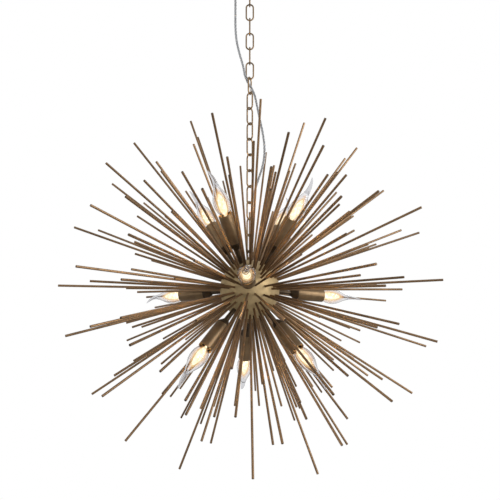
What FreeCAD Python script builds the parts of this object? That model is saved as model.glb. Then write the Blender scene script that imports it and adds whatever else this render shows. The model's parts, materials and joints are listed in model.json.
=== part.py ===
import FreeCAD, Part
import math
import os

# Pin-cushion ball chandelier on a chain.  Millimetres, +Z up.
# Origin: centre of the ceiling face; azimuth 0 faces -Y, positive towards +X.

# ceiling canopy
canopy_diameter = 120.0
canopy_height = 30.0
canopy_wall = 1.2
canopy_flat_diameter = 92.0
bracket_length = 112.0
bracket_width = 18.0
bracket_thickness = 2.0
bracket_drop = 8.0
bracket_foot = 13.0
bracket_slope = 3.0
bracket_hole_spacing = 99.0
bracket_hole_diameter = 4.5
nipple_diameter = 10.0
nipple_bore = 7.0
nipple_top_gap = 4.0
nut_flats = 15.0
nut_thickness = 3.5
collar_diameter = 22.0
collar_height = 7.0
cord_hole_offset = 34.0
terminal_length = 16.0
terminal_width = 14.0
terminal_height = 9.0

# chain
link_count = 17
link_wire = 3.5
link_inner_length = 37.0
link_outer_width = 20.0
link_play = 0.1
twist_first_link = 7
twist_step = -22.5
twist_total = -45.0

# eyes that the chain hangs in
eye_wire = 4.0
eye_radius = 8.4
boss_diameter = 15.0
boss_height = 5.0
boss_bore_depth = 3.0
eye_sink = 1.0

# clear cord, and the link that it passes through
cord_diameter = 5.5
crossing_link = 7
grip_flange_diameter = 12.0
grip_flange = 2.0
grip_body_diameter = 9.0
grip_body = 6.0

# hub ball
hub_radius = 64.0
hub_wall = 2.5
first_row_elevation = 1.0
row_spacing = 17.0
tube_diameter = 10.0
tube_bore = 6.5
cap_nut_diameter = 14.0
cap_nut_height = 9.0
cord_entry_x = 3.0
cord_entry_y = 15.0
cord_end_up = 44.0
cord_bend_up = 81.5
cord_end_gap = 0.1
splice_length = 14.0
splice_width = 12.0

# rods: distance of the three sorts of tip from the hub's centre
rod_diameter = 4.8
long_rod_tip = 400.0
medium_rod_tip = 335.0
short_rod_tip = 270.0
rod_tips = {"long": long_rod_tip, "medium": medium_rod_tip, "short": short_rod_tip}
rod_letters = {"L": "long", "M": "medium", "S": "short"}
# row number from the first row, then each rod of the row: its azimuth, how far
# it leans off the row in degrees, and its sort
rod_rows = [
    (4, [(-168.5, 1, "M"), (-120.5, 0, "L"), (-82.5, 1.5, "L"), (-62.5, -3, "M"), (-27.5, 0, "S"),
         (7.5, -4, "L"), (32, 0, "S"), (62.5, 0, "S"), (90.5, 3, "L"), (124.5, -2, "M"),
         (165.5, -3, "L")]),
    (3, [(-180, 0, "S"), (-163.5, 0, "L"), (-150.5, -2, "M"), (-132, -1, "M"), (-98, 0, "S"),
         (-74.5, -2, "L"), (-59, -4, "M"), (-14.5, -5.5, "L"), (2, -2.5, "M"), (18, 0, "S"),
         (32.5, -4, "L"), (89.5, 1, "L"), (108.5, 1.5, "L"), (115.5, -5, "M"), (160, 0, "S")]),
    (2, [(-174.5, 0, "L"), (-158, 0, "S"), (-138.5, -1, "L"), (-124, 2, "L"), (-109, -1.5, "M"),
         (-96, 3, "L"), (-76.5, 0, "S"), (-60, 0, "L"), (-46.5, -1.5, "M"), (-38, 1, "M"),
         (-26, -2, "M"), (-9, 3.5, "M"), (12, 0.5, "L"), (22, -3.5, "L"), (30.5, -2.5, "M"),
         (42, 0, "M"), (54.5, 0, "S"), (71, 0, "S"), (84, 0, "S"), (95, -5, "S"), (102.5, 2, "L"),
         (115.5, 0, "M"), (136.5, 0, "S"), (153, 0, "S"), (169, 0, "M")]),
    (1, [(-171.5, 0, "M"), (-156.5, 0, "S"), (-141.5, 0, "S"), (-126.5, 0, "S"), (-116, 0, "S"),
         (-105.5, 4.5, "L"), (-96.5, 0, "S"), (-85.5, 1, "L"), (-64, -0.5, "S"), (-49, -0.5, "L"),
         (-33.5, -1, "L"), (-25, -1, "M"), (-11.5, -1.5, "L"), (-5, 2, "L"), (5, -2, "L"),
         (5.5, 4.5, "L"), (23, -2.5, "L"), (23.5, 4.5, "L"), (36, 1, "L"), (46, 0, "S"),
         (60.5, 1.5, "L"), (72, 0, "S"), (83.5, 0, "S"), (93.5, 1, "L"), (105.5, 4.5, "L"),
         (122.5, 2.5, "L"), (143.5, 0, "S"), (158.5, 0, "M"), (173.5, 0, "M")]),
    (0, [(-176, 0, "M"), (-163, 0, "M"), (-152, 0, "M"), (-141.5, -2, "L"), (-130, 0.5, "M"),
         (-108, 0, "S"), (-93.5, 0, "S"), (-81.5, -1, "L"), (-75.5, 0, "M"), (-59, 3.5, "S"),
         (-50, 0, "L"), (-43, -3.5, "M"), (-30, -3.5, "S"), (-30, 5.5, "L"), (-16, 0, "M"),
         (11.5, -0.5, "L"), (31, -1.5, "L"), (47, -5, "M"), (51, 0, "S"), (62, -0.5, "M"),
         (73, -0.5, "L"), (84, 0, "S"), (94, -0.5, "M"), (122.5, -1, "L"), (134, 0, "S"), (144, 0, "M"),
         (157, 0, "S"), (170.5, 0, "M")]),
    (-1, [(-176, 0, "M"), (-163, 0, "M"), (-149.5, 0, "M"), (-138, 0, "M"), (-129.5, -5.5, "L"),
         (-128, 2, "L"), (-109.5, 0, "S"), (-97, -1, "S"), (-83, 0, "S"), (-62.5, 0, "L"),
         (-44.5, 1.5, "L"), (-32.5, 3, "L"), (-31, -3.5, "L"), (-16, 0, "M"), (-3, 0, "M"),
         (10.5, 0, "M"), (29, -1, "S"), (45, -1, "M"), (60.5, 1, "M"), (74.5, -1, "L"), (94, -1.5, "L"),
         (106, -2, "S"), (117, 0, "S"), (134, 1.5, "L"), (142.5, 2.5, "L"), (148, -1.5, "L"),
         (160, 0, "S"), (170.5, 0, "L")]),
    (-2, [(-170, 0, "S"), (-148.5, 0.5, "L"), (-139, -1.5, "L"), (-127, 0, "S"), (-115, -2.5, "S"),
         (-92.5, -0.5, "L"), (-71.5, 0, "M"), (-51, 0, "L"), (-33, 1.5, "M"), (-18, -0.5, "L"),
         (-6, 2.5, "M"), (14, -1, "L"), (23.5, 1, "L"), (38, 0, "M"), (49.5, -1.5, "L"),
         (70, -1.5, "M"), (87, 0, "L"), (98, 0, "S"), (109.5, 0, "M"), (122, 0, "S"), (135.5, 2.5, "M"),
         (147, -1, "L"), (158, 0, "S"), (168, 2.5, "M"), (177.5, -0.5, "L")]),
    (-3, [(-153.5, 2, "L"), (-144, 5, "L"), (-130.5, 6.5, "M"), (-114.5, 0, "S"), (-94.5, 0, "S"),
         (-65.5, 0.5, "L"), (-31, 1.5, "M"), (-16.5, 1, "M"), (-6.5, 1, "M"), (11.5, 3, "L"),
         (28.5, -0.5, "M"), (38, 1, "L"), (76.5, -3, "M"), (92, 0, "S"), (110.5, -5.5, "L"),
         (125.5, 0, "S"), (142, 0, "S"), (156.5, 3.5, "L"), (170.5, 1.5, "S")]),
    (-4, [(-161.5, 0, "S"), (-131.5, 0, "S"), (-113, -7.5, "M"), (-96.5, -1.5, "L"), (-71.5, 0, "S"),
         (-41.5, 1.5, "M"), (2, 1.5, "L"), (20, -0.5, "M"), (52.5, 1, "L"), (78.5, 0, "S"),
         (108.5, 0, "S"), (138.5, 0, "S"), (168.5, 0, "S")]),
]

# lamp sockets: azimuth, elevation and the way each bulb's bent tip points
lamps = [
    (-1.7, 0.4, 20.0),
    (112.5, -1.6, 200.0),
    (-118.0, -0.8, 280.0),
    (-30.0, 55.0, 160.0),
    (57.0, 53.5, 65.0),
    (137.0, 58.0, 30.0),
    (-112.0, 58.0, 5.0),
    (-48.0, -47.0, 235.0),
    (55.0, -48.0, 310.0),
    (-174.0, -54.0, 80.0),
]
arm_diameter = 9.0
arm_bore = 5.0
arm_start = 55.0
arm_end = 120.0
cup_start = 96.0
cup_end = 112.0
cup_small_diameter = 13.0
cup_wall = 1.4
sleeve_end = 176.0
sleeve_diameter = 30.0
sleeve_wall = 1.0
holder_start = 114.0
holder_end = 168.0
holder_diameter = 25.6
holder_bevel = 3.0
holder_bevel_length = 4.0
holder_edge = 1.0
shell_start = 147.0
shell_bore = 14.4
shell_wall = 0.5
arm_step = 2.0
contact_room = 1.0
contact_below = 3.0
contact_diameter = 4.0
lead_diameter = 3.0
lead_start = 12.0

# bulb, along its axis from the hub's centre
bulb_contact_end = 150.0
bulb_seat = 168.0
bulb_diameter = 35.0
glass_wall = 0.9
base_crest_diameter = 13.8
base_ridges = 4
tip_length = 32.0
tip_turn = 48.0
stem_height = 14.0
post_height = 38.0

hinge_gap = 0.3
fit_gap = 0.05
seat_gap = 0.3

os.makedirs("parts", exist_ok=True)

V = FreeCAD.Vector
up = V(0, 0, 1)


def save(name, shape):
    shape.exportStep("parts/" + name + ".step")
    print(name, len(shape.Solids), "solids", round(shape.Volume, 1))


def cylinder(diameter, low, high, x=0.0, y=0.0):
    return Part.makeCylinder(diameter / 2, high - low, V(x, y, low), up)


def tube(outer, inner, low, high, x=0.0, y=0.0):
    return cylinder(outer, low, high, x, y).cut(cylinder(inner, low - 1, high + 1, x, y))


def box(low, high):
    return Part.makeBox(high[0] - low[0], high[1] - low[1], high[2] - low[2], V(*low))


def hex_nut(flats, bore, low, high):
    corner = flats / math.sqrt(3)
    ring = [V(corner * math.cos(math.radians(60 * i)), corner * math.sin(math.radians(60 * i)), low)
            for i in range(7)]
    body = Part.Face(Part.makePolygon(ring)).extrude(V(0, 0, high - low))
    return body.cut(cylinder(bore, low - 1, high + 1))


def revolved(points):
    # closed outline of (radius, height) corners turned about Z
    corners = [V(r, 0, z) for r, z in points]
    face = Part.Face(Part.makePolygon(corners + corners[:1]))
    return face.revolve(V(0, 0, 0), up, 360)


def direction(azimuth, elevation):
    a = math.radians(azimuth)
    e = math.radians(elevation)
    return V(math.cos(e) * math.sin(a), -math.cos(e) * math.cos(a), math.sin(e))


def aimed(shape, azimuth, elevation, roll=0.0):
    # shape stands on Z at the hub's centre; roll turns it about its own axis
    turned = shape.copy()
    turned.rotate(V(0, 0, 0), up, roll)
    turned.rotate(V(0, 0, 0), V(1, 0, 0), 90 - elevation)
    turned.rotate(V(0, 0, 0), up, azimuth)
    turned.translate(V(0, 0, hub_z))
    return turned


# heights from the ceiling down
plate_top = -bracket_drop
plate_bottom = plate_top - bracket_thickness
cup_bottom = -canopy_height
collar_bottom = cup_bottom - collar_height
upper_boss_bottom = collar_bottom - boss_height
upper_eye_z = upper_boss_bottom - eye_radius + eye_sink
upper_hinge_z = upper_eye_z - eye_radius
first_link_z = upper_hinge_z + eye_wire / 2 + hinge_gap - link_inner_length / 2
link_pitch = link_inner_length - link_play
end_link_z = first_link_z - (link_count - 1) * link_pitch + hinge_gap - link_play
lower_hinge_z = end_link_z - link_inner_length / 2 + hinge_gap + eye_wire / 2
lower_boss_base = hub_radius + 0.1
lower_eye_up = lower_boss_base + boss_height + eye_radius - eye_sink
hub_z = lower_hinge_z - eye_radius - lower_eye_up
twist_joint_z = end_link_z + link_inner_length / 2
print("joints at", upper_hinge_z, twist_joint_z, lower_hinge_z, "hub centre at", hub_z)

# ceiling bracket: a cranked strip with a screw hole in each foot
half = bracket_length / 2
knee = half - bracket_foot
shelf = knee - bracket_slope
strip = [(-half, 0), (-knee, 0), (-shelf, plate_top), (shelf, plate_top), (knee, 0), (half, 0)]
under = [(x, z - bracket_thickness) for x, z in reversed(strip)]
outline = [V(x, -bracket_width / 2, z) for x, z in strip + under]
bracket = Part.Face(Part.makePolygon(outline + outline[:1])).extrude(V(0, bracket_width, 0))
bracket = bracket.cut(cylinder(nipple_diameter + 2 * fit_gap, plate_bottom - 1, 1))
for side in (-1, 1):
    bracket = bracket.cut(cylinder(bracket_hole_diameter, plate_bottom - 1, 1,
                                   side * bracket_hole_spacing / 2))
save("ceiling_bracket", bracket)

nipple_top = -nipple_top_gap
nipple_bottom = collar_bottom - boss_bore_depth
save("canopy_nipple", tube(nipple_diameter, nipple_bore, nipple_bottom, nipple_top))
nut_bore = nipple_diameter + 2 * fit_gap
save("bracket_nuts", Part.makeCompound([
    hex_nut(nut_flats, nut_bore, plate_top, plate_top + nut_thickness),
    hex_nut(nut_flats, nut_bore, plate_bottom - nut_thickness, plate_bottom)]))

# canopy cup: flat crown with a rounded side up to the ceiling
rim_radius = canopy_diameter / 2
flat_radius = canopy_flat_diameter / 2
side_radius = rim_radius - flat_radius


def cup_profile(inset):
    # outline of the cup's outside, moved inwards by the wall for its inside
    low = cup_bottom + inset
    corner = side_radius - inset
    arc = [(flat_radius + corner * math.sin(math.radians(15 * i)),
            low + corner * (1 - math.cos(math.radians(15 * i)))) for i in range(7)]
    return arc + [(rim_radius - inset, 0 if inset == 0 else 1.0)]


outside = revolved([(0, cup_bottom)] + cup_profile(0) + [(0, 0)])
inside = revolved([(0, cup_bottom + canopy_wall)] + cup_profile(canopy_wall) + [(0, 1.0)])
cup = outside.cut(inside)
cup = cup.cut(cylinder(nipple_diameter + 2 * fit_gap, cup_bottom - 1, cup_bottom + 5))
cup = cup.cut(cylinder(grip_body_diameter + 2 * fit_gap, cup_bottom - 1, cup_bottom + 5,
                       -cord_hole_offset))
save("canopy_cup", cup)
save("canopy_collar", tube(collar_diameter, nut_bore, collar_bottom, cup_bottom))


def eye(boss_low, boss_high, ring_z, bore_low, bore_high, bore, angle):
    # boss with a round eye; the eye's plane holds Z and the given angle
    boss = cylinder(boss_diameter, boss_low, boss_high)
    ring = Part.makeTorus(eye_radius, eye_wire / 2, V(0, 0, ring_z), V(0, 1, 0))
    ring.rotate(V(0, 0, 0), up, angle)
    return boss.fuse(ring).cut(cylinder(bore, bore_low, bore_high))


save("canopy_loop", eye(upper_boss_bottom, collar_bottom, upper_eye_z, nipple_bottom,
                        collar_bottom + 1, nut_bore, 0))

# chain: oval links, each turned a quarter from the last, with a slow twist
bend_radius = (link_outer_width - link_wire) / 2
side_half = (link_inner_length + link_wire) / 2 - bend_radius


def link_angle(number):
    quarter = 90.0 if number % 2 == 1 else 0.0
    turned = max(0, number - twist_first_link + 1) * twist_step
    return quarter + max(turned, twist_total)


def chain_link(number, height):
    pieces = []
    for side in (-1, 1):
        pieces.append(Part.makeCylinder(link_wire / 2, 2 * side_half,
                                        V(side * bend_radius, 0, -side_half), up))
        half_ring = Part.makeTorus(bend_radius, link_wire / 2, V(0, 0, 0), V(0, 0, 1), -180, 180, 180)
        half_ring.rotate(V(0, 0, 0), V(1, 0, 0), 90)
        if side < 0:
            half_ring.rotate(V(0, 0, 0), V(1, 0, 0), 180)
        half_ring.translate(V(0, 0, side * side_half))
        pieces.append(half_ring)
    link = pieces[0].multiFuse(pieces[1:])
    link.rotate(V(0, 0, 0), up, link_angle(number))
    link.translate(V(0, 0, height))
    return link


save("chain_links", Part.makeCompound([
    chain_link(n, first_link_z - (n - 1) * link_pitch) for n in range(1, link_count)]))
save("end_link", chain_link(link_count, end_link_z))
lower_angle = link_angle(link_count) - 90.0

# clear cord: from the terminal block, down through one link's window and on
# into the top of the hub; both ends stand square on their blocks
terminal_bottom = plate_bottom - terminal_height
crossing_z = first_link_z - (crossing_link - 1) * link_pitch
cord_route = [
    (-cord_hole_offset, 0.0, terminal_bottom - cord_end_gap),
    (-cord_hole_offset, 0.0, -58.0),
    (-33.6, -1.0, -100.0),
    (-33.8, -2.6, -140.0),
    (-32.0, -5.0, -180.0),
    (-24.5, -8.0, -218.0),
    (-15.0, -8.5, -250.0),
    (-10.0, -3.5, crossing_z + 15.0),
    (10.0, 1.5, crossing_z - 15.0),
    (15.5, 6.0, -335.0),
    (21.5, 10.0, -366.0),
    (30.0, 8.0, -407.0),
    (34.5, 6.0, -449.0),
    (29.5, 7.0, -486.0),
    (18.0, 10.5, -519.0),
    (7.0, 14.0, -554.0),
    (cord_entry_x + 0.8, cord_entry_y, -596.0),
    (cord_entry_x + 0.2, cord_entry_y, -646.0),
    (cord_entry_x, cord_entry_y, hub_z + cord_bend_up),
    (cord_entry_x, cord_entry_y, hub_z + cord_end_up + cord_end_gap),
]


def cord_path(points):
    # straight runs joined by tangent arcs, as large as the shorter run allows
    knots = [V(*p) for p in points]
    edges = []
    start = knots[0]
    smallest = 1e9
    for before, here, after in zip(knots, knots[1:], knots[2:]):
        back = before - here
        on = after - here
        turn = math.pi - back.getAngle(on)
        cut = 0.45 * min(back.Length, on.Length)
        radius = cut / math.tan(turn / 2)
        smallest = min(smallest, radius)
        print("arc radius", round(radius, 1), "turn", round(math.degrees(turn), 1))
        back.normalize()
        on.normalize()
        enter = here + back * cut
        leave = here + on * cut
        inward = back + on
        inward.normalize()
        centre_distance = math.hypot(radius, cut)
        middle = here + inward * (centre_distance - radius)
        edges.append(Part.LineSegment(start, enter).toShape())
        edges.append(Part.Arc(enter, middle, leave).toShape())
        start = leave
    edges.append(Part.LineSegment(start, knots[-1]).toShape())
    print("smallest arc radius", round(smallest, 1))
    return Part.Wire(edges)


route_wire = cord_path(cord_route)
first_run = V(*cord_route[1]) - V(*cord_route[0])
section = Part.Wire(Part.Circle(V(*cord_route[0]), first_run, cord_diameter / 2).toShape())
cord = route_wire.makePipeShell([section], True, False)
print("cord length", round(route_wire.Length, 1), "volume over section times length",
      round(cord.Volume / (math.pi * cord_diameter ** 2 / 4 * route_wire.Length), 4))
save("clear_cord", cord)

cord_bore = cord_diameter + 2 * fit_gap
grip = cylinder(grip_flange_diameter, cup_bottom - grip_flange, cup_bottom, -cord_hole_offset)
grip = grip.fuse(cylinder(grip_body_diameter, cup_bottom, cup_bottom + grip_body, -cord_hole_offset))
grip_hole = cylinder(cord_bore + 0.3, cup_bottom - grip_flange - 1, cup_bottom + grip_body + 1,
                     -cord_hole_offset)
save("cord_grip", grip.cut(grip_hole))

terminal = box((-cord_hole_offset - terminal_length / 2, -terminal_width / 2, terminal_bottom),
               (-cord_hole_offset + terminal_length / 2, terminal_width / 2, plate_bottom))
for side in (-1, 1):
    screw_hole = Part.makeCylinder(1.6, terminal_height, V(-cord_hole_offset + side * 5.0, 3.5,
                                                           terminal_bottom), up)
    terminal = terminal.cut(screw_hole)
save("terminal_block", terminal)

# hub: eye on top, two half shells clamped between it and the cap nut below
tube_top = lower_boss_base + boss_bore_depth
tube_bottom = -hub_radius - cap_nut_height + 3.0
hub_eye = eye(lower_boss_base, lower_boss_base + boss_height, lower_eye_up,
              lower_boss_base - 1, tube_top, tube_diameter + 2 * fit_gap, lower_angle)
hub_eye.translate(V(0, 0, hub_z))
save("hub_loop", hub_eye)
save("centre_tube", tube(tube_diameter, tube_bore, hub_z + tube_bottom, hub_z + tube_top))
inner_radius = hub_radius - hub_wall
nut_corner = nut_flats / math.sqrt(3)
inner_nut_face = math.sqrt(inner_radius ** 2 - (nut_corner + 0.3) ** 2)
tube_nut_bore = tube_diameter + 2 * fit_gap
hub_nuts = Part.makeCompound([
    hex_nut(nut_flats, tube_nut_bore, inner_nut_face - nut_thickness, inner_nut_face),
    hex_nut(nut_flats, tube_nut_bore, -inner_nut_face, nut_thickness - inner_nut_face)])
hub_nuts.translate(V(0, 0, hub_z))
save("hub_inner_nuts", hub_nuts)
cap_top = -hub_radius - 0.1
cap_nut = revolved([(0, cap_top - cap_nut_height), (cap_nut_diameter / 4, cap_top - cap_nut_height + 0.5),
                    (cap_nut_diameter / 2.4, cap_top - cap_nut_height + 2.5),
                    (cap_nut_diameter / 2, cap_top - 4.0), (cap_nut_diameter / 2, cap_top), (0, cap_top)])
cap_nut = cap_nut.cut(cylinder(tube_nut_bore, tube_bottom, cap_top + 1))
cap_nut.translate(V(0, 0, hub_z))
save("hub_cap_nut", cap_nut)

# rods leave out the room that each lamp socket and the two poles need
rod_inner = math.sqrt(inner_radius ** 2 - (rod_diameter / 2) ** 2)
clear_angle = math.degrees(math.atan((sleeve_diameter / 2 + rod_diameter / 2 + 1.0) / cup_end))
pole_angle = math.degrees(math.asin((cap_nut_diameter / 2 + rod_diameter / 2 + 1.0) / hub_radius))
lamp_directions = [direction(a, e) for a, e, _ in lamps]
rods = {sort: [] for sort in rod_tips}
rod_holes = []
for row, places in rod_rows:
    for azimuth, lean, letter in places:
        elevation = first_row_elevation + row * row_spacing + lean
        way = direction(azimuth, elevation)
        nearest = min(math.degrees(way.getAngle(d)) for d in lamp_directions)
        if nearest < clear_angle or abs(elevation) > 90 - pole_angle:
            print("no room for the rod at", azimuth, elevation)
            continue
        sort = rod_letters[letter]
        rod = Part.makeCylinder(rod_diameter / 2, rod_tips[sort] - rod_inner, V(0, 0, rod_inner), up)
        hole = Part.makeCylinder(rod_diameter / 2 + fit_gap, 2 * hub_wall + 4, V(0, 0, rod_inner - 2), up)
        rods[sort].append(aimed(rod, azimuth, elevation))
        rod_holes.append(aimed(hole, azimuth, elevation))
for sort, solids in rods.items():
    print(sort, "rods", len(solids))
    save("rods_" + sort, Part.makeCompound(solids))

# shells meet on a bare band between two rod rows
seam_elevation = first_row_elevation - row_spacing / 2
seam_z = hub_radius * math.sin(math.radians(seam_elevation))
ball = Part.makeSphere(hub_radius).cut(Part.makeSphere(inner_radius))
ball = ball.cut(cylinder(tube_nut_bore, -hub_radius - 1, hub_radius + 1))
ball = ball.cut(cylinder(grip_body_diameter + 2 * fit_gap, hub_radius / 2, hub_radius + 1,
                         cord_entry_x, cord_entry_y))
ball.translate(V(0, 0, hub_z))
for azimuth, elevation, _ in lamps:
    arm_hole = cylinder(arm_diameter + 2 * fit_gap, inner_radius - 3, hub_radius + 3)
    rod_holes.append(aimed(arm_hole, azimuth, elevation))
ball = ball.cut(Part.makeCompound(rod_holes))
reach = hub_radius + 1
upper_half = box((-reach, -reach, hub_z + seam_z), (reach, reach, hub_z + reach))
lower_half = box((-reach, -reach, hub_z - reach), (reach, reach, hub_z + seam_z))
save("hub_upper_shell", ball.common(upper_half))
save("hub_lower_shell", ball.common(lower_half))

entry_radius = math.hypot(cord_entry_x, cord_entry_y)
flange_inner = entry_radius - grip_flange_diameter / 2
flange_low = math.sqrt(hub_radius ** 2 - flange_inner ** 2) + 0.1
grommet = cylinder(grip_flange_diameter, flange_low, flange_low + grip_flange, cord_entry_x, cord_entry_y)
grommet = grommet.fuse(cylinder(grip_body_diameter, flange_low - grip_body, flange_low,
                                cord_entry_x, cord_entry_y))
grommet = grommet.cut(cylinder(cord_bore + 0.3, flange_low - grip_body - 1, flange_low + grip_flange + 1,
                               cord_entry_x, cord_entry_y))
grommet.translate(V(0, 0, hub_z))
save("cord_grommet", grommet)
splice = box((cord_entry_x - splice_width / 2, tube_diameter / 2, cord_end_up - splice_length),
             (cord_entry_x + splice_width / 2, cord_entry_y + cord_diameter / 2 + 1, cord_end_up))
splice.translate(V(0, 0, hub_z))
save("splice_block", splice)

# one lamp socket, standing on Z
sleeve_radius = sleeve_diameter / 2
arm = tube(arm_diameter, arm_bore, arm_start, arm_end)
arm_nut_corner = nut_flats / math.sqrt(3)
arm_nut_face = math.sqrt(inner_radius ** 2 - (arm_nut_corner + 0.3) ** 2)
arm_nut = hex_nut(nut_flats, arm_diameter + 2 * fit_gap, arm_nut_face - nut_thickness, arm_nut_face)
cup_small = cup_small_diameter / 2
arm_hole_radius = arm_diameter / 2 + fit_gap
socket_cup = revolved([
    (arm_hole_radius, cup_start), (cup_small, cup_start), (sleeve_radius, cup_end - 2.0),
    (sleeve_radius, cup_end), (sleeve_radius - cup_wall, cup_end),
    (sleeve_radius - cup_wall, cup_end - 2.0 + cup_wall / 2),
    (cup_small, cup_start + 2 * cup_wall), (arm_hole_radius, cup_start + 2 * cup_wall)])
sleeve = tube(sleeve_diameter, sleeve_diameter - 2 * sleeve_wall, cup_end, sleeve_end)
shell_outer = shell_bore + 2 * shell_wall
holder = revolved([
    (arm_hole_radius, holder_start), (holder_diameter / 2 - holder_bevel, holder_start),
    (holder_diameter / 2, holder_start + holder_bevel_length),
    (holder_diameter / 2, holder_end - holder_edge),
    (holder_diameter / 2 - holder_edge, holder_end), (shell_outer / 2 + fit_gap, holder_end),
    (shell_outer / 2 + fit_gap, shell_start), (contact_diameter / 2 + fit_gap, shell_start),
    (contact_diameter / 2 + fit_gap, arm_end + arm_step), (arm_hole_radius, arm_end)])
screw_shell = revolved([
    (contact_diameter / 2 + contact_room, shell_start), (shell_outer / 2, shell_start),
    (shell_outer / 2, holder_end), (shell_bore / 2, holder_end),
    (shell_bore / 2, shell_start + shell_wall),
    (contact_diameter / 2 + contact_room, shell_start + shell_wall)])
contact = cylinder(contact_diameter, shell_start - contact_below, bulb_contact_end - seat_gap)
lead = cylinder(lead_diameter, lead_start, shell_start - contact_below)

sockets = {
    "socket_arms": arm, "arm_nuts": arm_nut, "socket_cups": socket_cup, "socket_sleeves": sleeve,
    "lampholders": holder, "screw_shells": screw_shell, "centre_contacts": contact,
    "lamp_leads": lead}
for name, shape in sockets.items():
    save(name, Part.makeCompound([aimed(shape, a, e) for a, e, _ in lamps]))

# one bulb, standing on Z: screw base, lamp filament on its stem, clear glass
crest = base_crest_diameter / 2
root = crest - 0.7
ridge_low = bulb_contact_end + 3.5
ridge_step = (bulb_seat - 2.0 - ridge_low) / base_ridges
base_outline = [(0, bulb_contact_end), (contact_diameter / 2 + 0.4, bulb_contact_end),
                (contact_diameter / 2 + 0.4, bulb_contact_end + 1), (root, ridge_low - 0.5)]
for ridge in range(base_ridges):
    low = ridge_low + ridge * ridge_step
    base_outline.append((root, low))
    base_outline.append((crest, low + 0.35 * ridge_step))
    base_outline.append((crest, low + 0.65 * ridge_step))
base_outline += [(root, bulb_seat - 2.0), (crest, bulb_seat - 1.5), (crest, bulb_seat), (0, bulb_seat)]
bulb_base = revolved(base_outline)

half_width = bulb_diameter / 2
# share of the full half width at each distance beyond the seat
glass_shape = [(0, 0.36), (4, 0.40), (8, 0.53), (17, 0.85), (27, 0.985), (35, 1.0), (44, 0.93),
               (52, 0.78), (60, 0.58), (68, 0.41), (76, 0.29)]
outer_points = [V(share * half_width, 0, bulb_seat + up_by) for up_by, share in glass_shape]
inner_points = [V(p.x - glass_wall, 0, p.z) for p in outer_points[:-1]]
outer_curve = Part.BSplineCurve()
outer_curve.interpolate(outer_points)
inner_curve = Part.BSplineCurve()
inner_curve.interpolate(inner_points)
glass_top = outer_points[-1]
inner_top = inner_points[-1]
glass_edges = [
    outer_curve.toShape(),
    Part.LineSegment(glass_top, V(0, 0, glass_top.z)).toShape(),
    Part.LineSegment(V(0, 0, glass_top.z), V(0, 0, inner_top.z)).toShape(),
    Part.LineSegment(V(0, 0, inner_top.z), inner_top).toShape(),
    inner_curve.toShape(),
    Part.LineSegment(inner_points[0], outer_points[0]).toShape()]
glass_body = Part.Face(Part.Wire(Part.__sortEdges__(glass_edges))).revolve(V(0, 0, 0), up, 360)

tip_sections = []
tip_steps = 6
tip_point = V(0, 0, glass_top.z)
for step in range(tip_steps + 1):
    along = step / tip_steps
    lean = math.radians(tip_turn * along)
    heading = V(math.sin(lean), 0, math.cos(lean))
    radius = glass_top.x * (1 - along) ** 0.8 + 0.7 * along
    tip_sections.append(Part.Wire(Part.Circle(tip_point, heading, radius).toShape()))
    tip_point = tip_point + heading * (tip_length / tip_steps)
glass_tip = Part.makeLoft(tip_sections, True, False)
glass = glass_body.fuse(glass_tip)

stem_top = bulb_seat + stem_height
post_top = bulb_seat + post_height
filament = cylinder(5.0, bulb_seat, stem_top).fuse(cylinder(10.0, stem_top - 1.5, stem_top))
for side in (-1, 1):
    filament = filament.fuse(cylinder(1.0, stem_top - 1, post_top, side * 4.0))
    filament = filament.fuse(cylinder(1.0, stem_top - 1, post_top, 0, side * 4.0))
filament = filament.fuse(Part.makeCylinder(0.9, 9.6, V(-4.8, 0, post_top - 0.5), V(1, 0, 0)))
filament = filament.fuse(Part.makeCylinder(0.9, 9.6, V(0, -4.8, post_top - 0.5), V(0, 1, 0)))

for number, (azimuth, elevation, roll) in enumerate(lamps, 1):
    tag = "_%02d" % number
    save("bulb_glass" + tag, aimed(glass, azimuth, elevation, roll))
    save("bulb_base" + tag, aimed(bulb_base, azimuth, elevation, roll))
    save("bulb_filament" + tag, aimed(filament, azimuth, elevation, roll))
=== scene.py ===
import json
import math
import bmesh
import bpy
from mathutils import Matrix, Vector


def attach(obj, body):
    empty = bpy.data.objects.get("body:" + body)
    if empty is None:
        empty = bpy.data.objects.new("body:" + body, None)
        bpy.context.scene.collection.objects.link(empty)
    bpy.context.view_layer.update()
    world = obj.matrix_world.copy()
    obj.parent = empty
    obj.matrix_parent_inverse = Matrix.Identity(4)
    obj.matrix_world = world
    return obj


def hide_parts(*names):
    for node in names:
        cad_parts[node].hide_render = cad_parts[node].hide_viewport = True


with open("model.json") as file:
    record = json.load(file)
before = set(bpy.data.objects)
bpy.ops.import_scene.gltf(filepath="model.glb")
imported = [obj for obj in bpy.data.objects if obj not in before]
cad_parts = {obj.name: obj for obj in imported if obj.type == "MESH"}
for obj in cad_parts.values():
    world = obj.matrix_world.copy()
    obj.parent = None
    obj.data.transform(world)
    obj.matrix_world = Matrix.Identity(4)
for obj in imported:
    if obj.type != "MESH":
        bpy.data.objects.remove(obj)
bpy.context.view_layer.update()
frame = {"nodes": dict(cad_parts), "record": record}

scene = bpy.context.scene
nodes = frame["nodes"]
slotOf = {part["node"]: part["material_slot"] for part in frame["record"]["subparts"]}
print("frame loaded:", len(nodes), "nodes")

# millimetres are easier to read for a lamp, so sizes below are in mm
mm = 0.001
hubZ = -765.3  # the ball's centre, under the ceiling


# camera: in front of the ball, a little below it, looking up
camera = {"x": 0.5, "y": -1370.0, "z": -945.3, "tilt": 11.0, "lens": 46.1}

cameraData = bpy.data.cameras.new("camera")
cameraData.lens = camera["lens"]
cameraObject = bpy.data.objects.new("camera", cameraData)
cameraObject.location = (camera["x"] * mm, camera["y"] * mm, camera["z"] * mm)
cameraObject.rotation_euler = (math.radians(90 + camera["tilt"]), 0, 0)
scene.collection.objects.link(cameraObject)
scene.camera = cameraObject


# small helpers

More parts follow.
